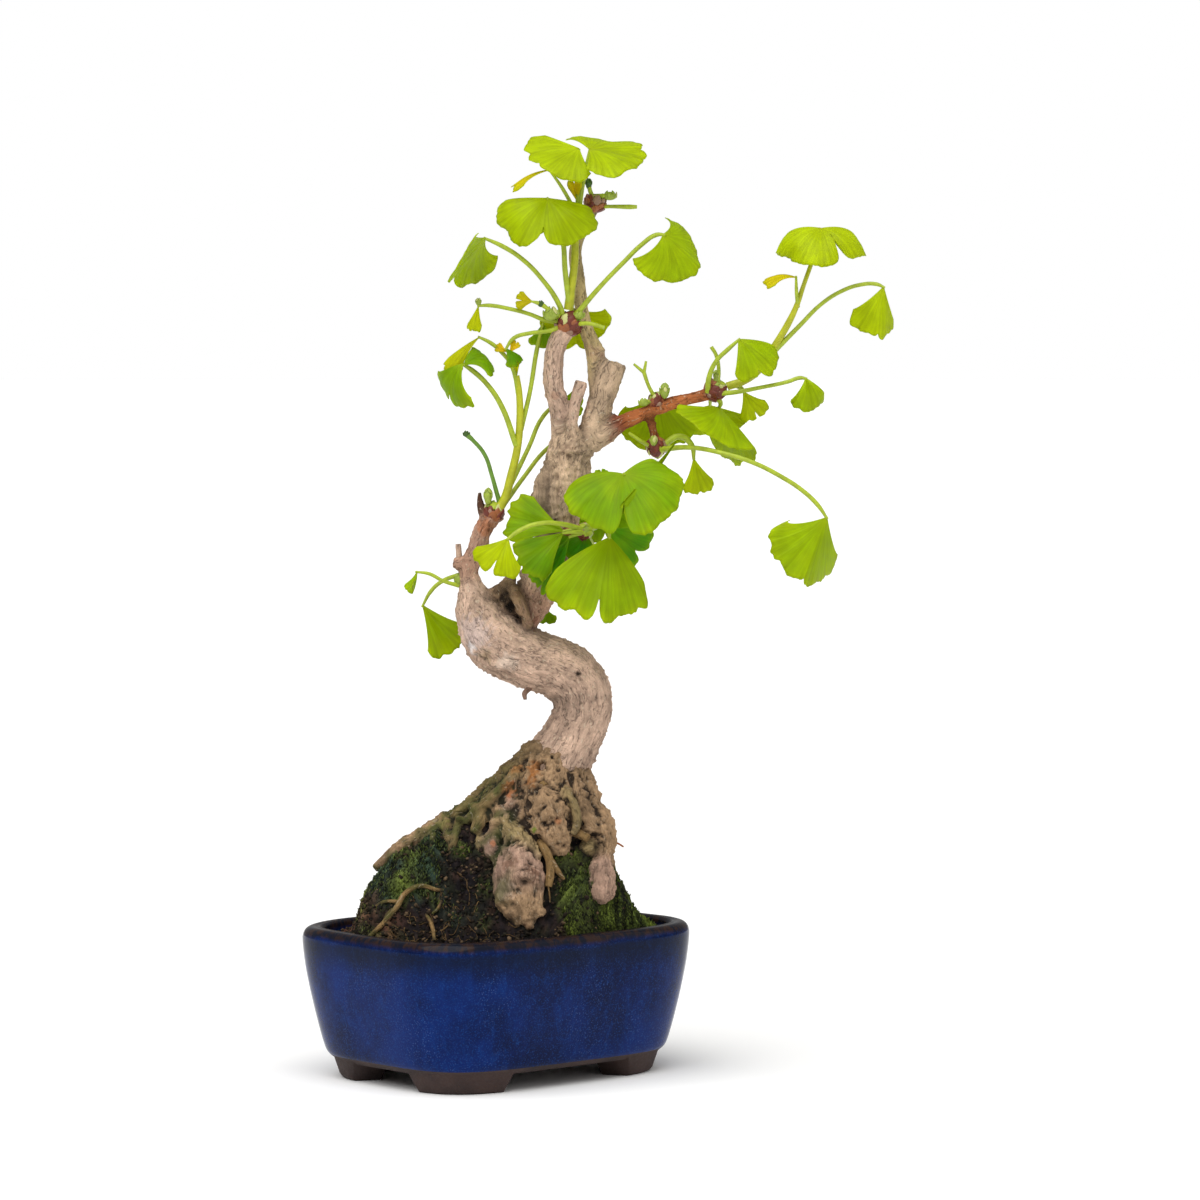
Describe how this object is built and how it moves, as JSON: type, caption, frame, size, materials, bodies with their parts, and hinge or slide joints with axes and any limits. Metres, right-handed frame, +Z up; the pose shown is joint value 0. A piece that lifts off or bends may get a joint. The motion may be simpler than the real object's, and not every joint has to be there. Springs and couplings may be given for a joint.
{
  "type": "ginkgo bonsai",
  "caption": "Ginkgo bonsai with an S-bent trunk, spreading surface roots and fan-shaped young leaves on long stalks, in a glazed rounded rectangular pot with corner feet.",
  "frame": {"origin": "middle of the bottom of the whole part's box, at the height of the feet's undersides", "axes": "+Z up, +X along the pot's long side, with the tree's longest branch reaching toward +X and -Y"},
  "size_m": [0.1996, 0.1748, 0.3954],
  "materials": {
    "glaze": "gloss",
    "screen": "matte",
    "soil": "matte",
    "bark": "matte",
    "leaf": "satin",
    "young_leaf": "satin"
  },
  "bodies": {
    "root": {"pot": "glaze", "drain_screen_left": "screen", "drain_screen_right": "screen", "soil": "soil", "wood": "bark", "apex_spray": "leaf", "top_shoot": "young_leaf", "top_spray": "leaf", "left_shoot": "leaf", "lower_left_spray": "leaf", "centre_spray": "leaf", "inner_right_spray": "leaf", "right_spray": "leaf", "right_shoot": "young_leaf", "lower_right_spray": "leaf"}
  },
  "joints": []
}
